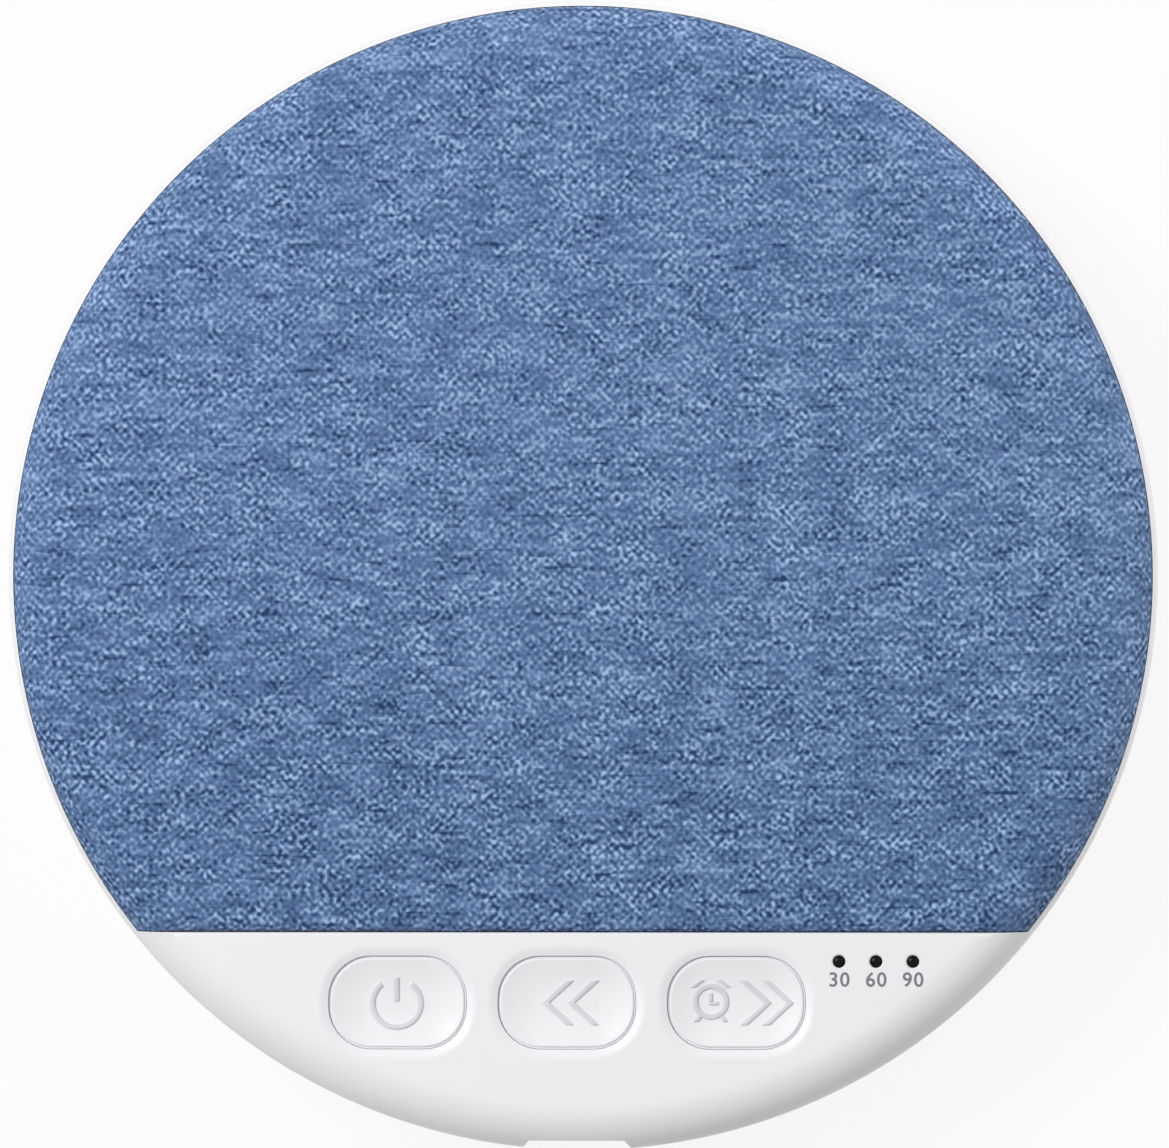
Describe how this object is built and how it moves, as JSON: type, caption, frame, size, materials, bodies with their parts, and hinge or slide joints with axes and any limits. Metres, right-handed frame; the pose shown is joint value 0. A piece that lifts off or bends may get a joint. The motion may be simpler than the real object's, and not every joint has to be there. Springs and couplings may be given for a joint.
{
  "type": "pillow speaker",
  "caption": "Flat round pillow speaker with a blue melange cloth front, a white key panel with soft hollow keys, timer lights and a charging socket in the rim",
  "frame": {"origin": "under the middle of the case, on the plane that the rubber feet stand on", "axes": "+Z out of the cloth face, -Y towards the keys and the charging socket, +X to the right seen from the cloth side"},
  "size_m": [0.1, 0.0998, 0.016],
  "materials": {
    "white_shell": "satin",
    "white_key": "satin",
    "denim_cloth": "melange weave",
    "dark_plastic": "fine texture",
    "smoked_plastic": "polished",
    "cream_plastic": "satin",
    "tape": "matte",
    "green_board": "solder mask",
    "tan_board": "laminate",
    "tan_ceramic": "matte",
    "steel": "bright",
    "magnet": "plated",
    "cell_foil": "foil",
    "foam": "matte",
    "black_rubber": "matte",
    "grey_rubber": "matte",
    "cone_paper": "fibrous",
    "copper": "enamelled",
    "red_lead": "satin",
    "black_lead": "satin"
  },
  "bodies": {
    "housing": {"rear_shell": "white_shell", "front_shell": "white_shell", "grille_plate": "dark_plastic", "grille_tape": "tape", "cloth_cover": "denim_cloth", "power_switch": "dark_plastic", "previous_switch": "dark_plastic", "next_switch": "dark_plastic", "light_guide": "smoked_plastic", "timer_leds": "cream_plastic", "circuit_board": "green_board", "radio_chip": "dark_plastic", "amplifier_chip": "dark_plastic", "board_capacitors": "tan_ceramic", "solder_joints": "steel", "usb_shell": "steel", "usb_tongue": "dark_plastic", "battery_cell": "cell_foil", "battery_guard": "green_board", "battery_pad": "foam", "battery_leads": "red_lead", "speaker_leads": "black_lead", "driver_basket": "dark_plastic", "driver_yoke": "steel", "driver_magnet": "magnet", "driver_pole": "steel", "driver_gasket": "foam", "driver_terminals": "tan_board", "driver_surround": "black_rubber", "case_screws": "steel", "board_screws": "steel", "driver_screws": "steel", "rubber_feet": "grey_rubber"},
    "power_button": {"power_key": "white_key", "power_plunger": "cream_plastic"},
    "previous_button": {"previous_key": "white_key", "previous_plunger": "cream_plastic"},
    "next_button": {"next_key": "white_key", "next_plunger": "cream_plastic"},
    "moving_cone": {"driver_cone": "cone_paper", "dust_cap": "cone_paper", "voice_coil": "copper"}
  },
  "joints": [
    {"name": "power_press", "type": "slide", "parent": "housing", "child": "power_button", "axis": [0, 0, -1], "range_m": [0, 0.0005], "stiffness_N_per_m": 3000},
    {"name": "previous_press", "type": "slide", "parent": "housing", "child": "previous_button", "axis": [0, 0, -1], "range_m": [0, 0.0005], "stiffness_N_per_m": 3000},
    {"name": "next_press", "type": "slide", "parent": "housing", "child": "next_button", "axis": [0, 0, -1], "range_m": [0, 0.0005], "stiffness_N_per_m": 3000},
    {"name": "cone_stroke", "type": "slide", "parent": "housing", "child": "moving_cone", "axis": [0, 0, 1], "range_m": [-0.0003, 0.0003], "stiffness_N_per_m": 1500, "deforming": ["driver_surround"]}
  ]
}
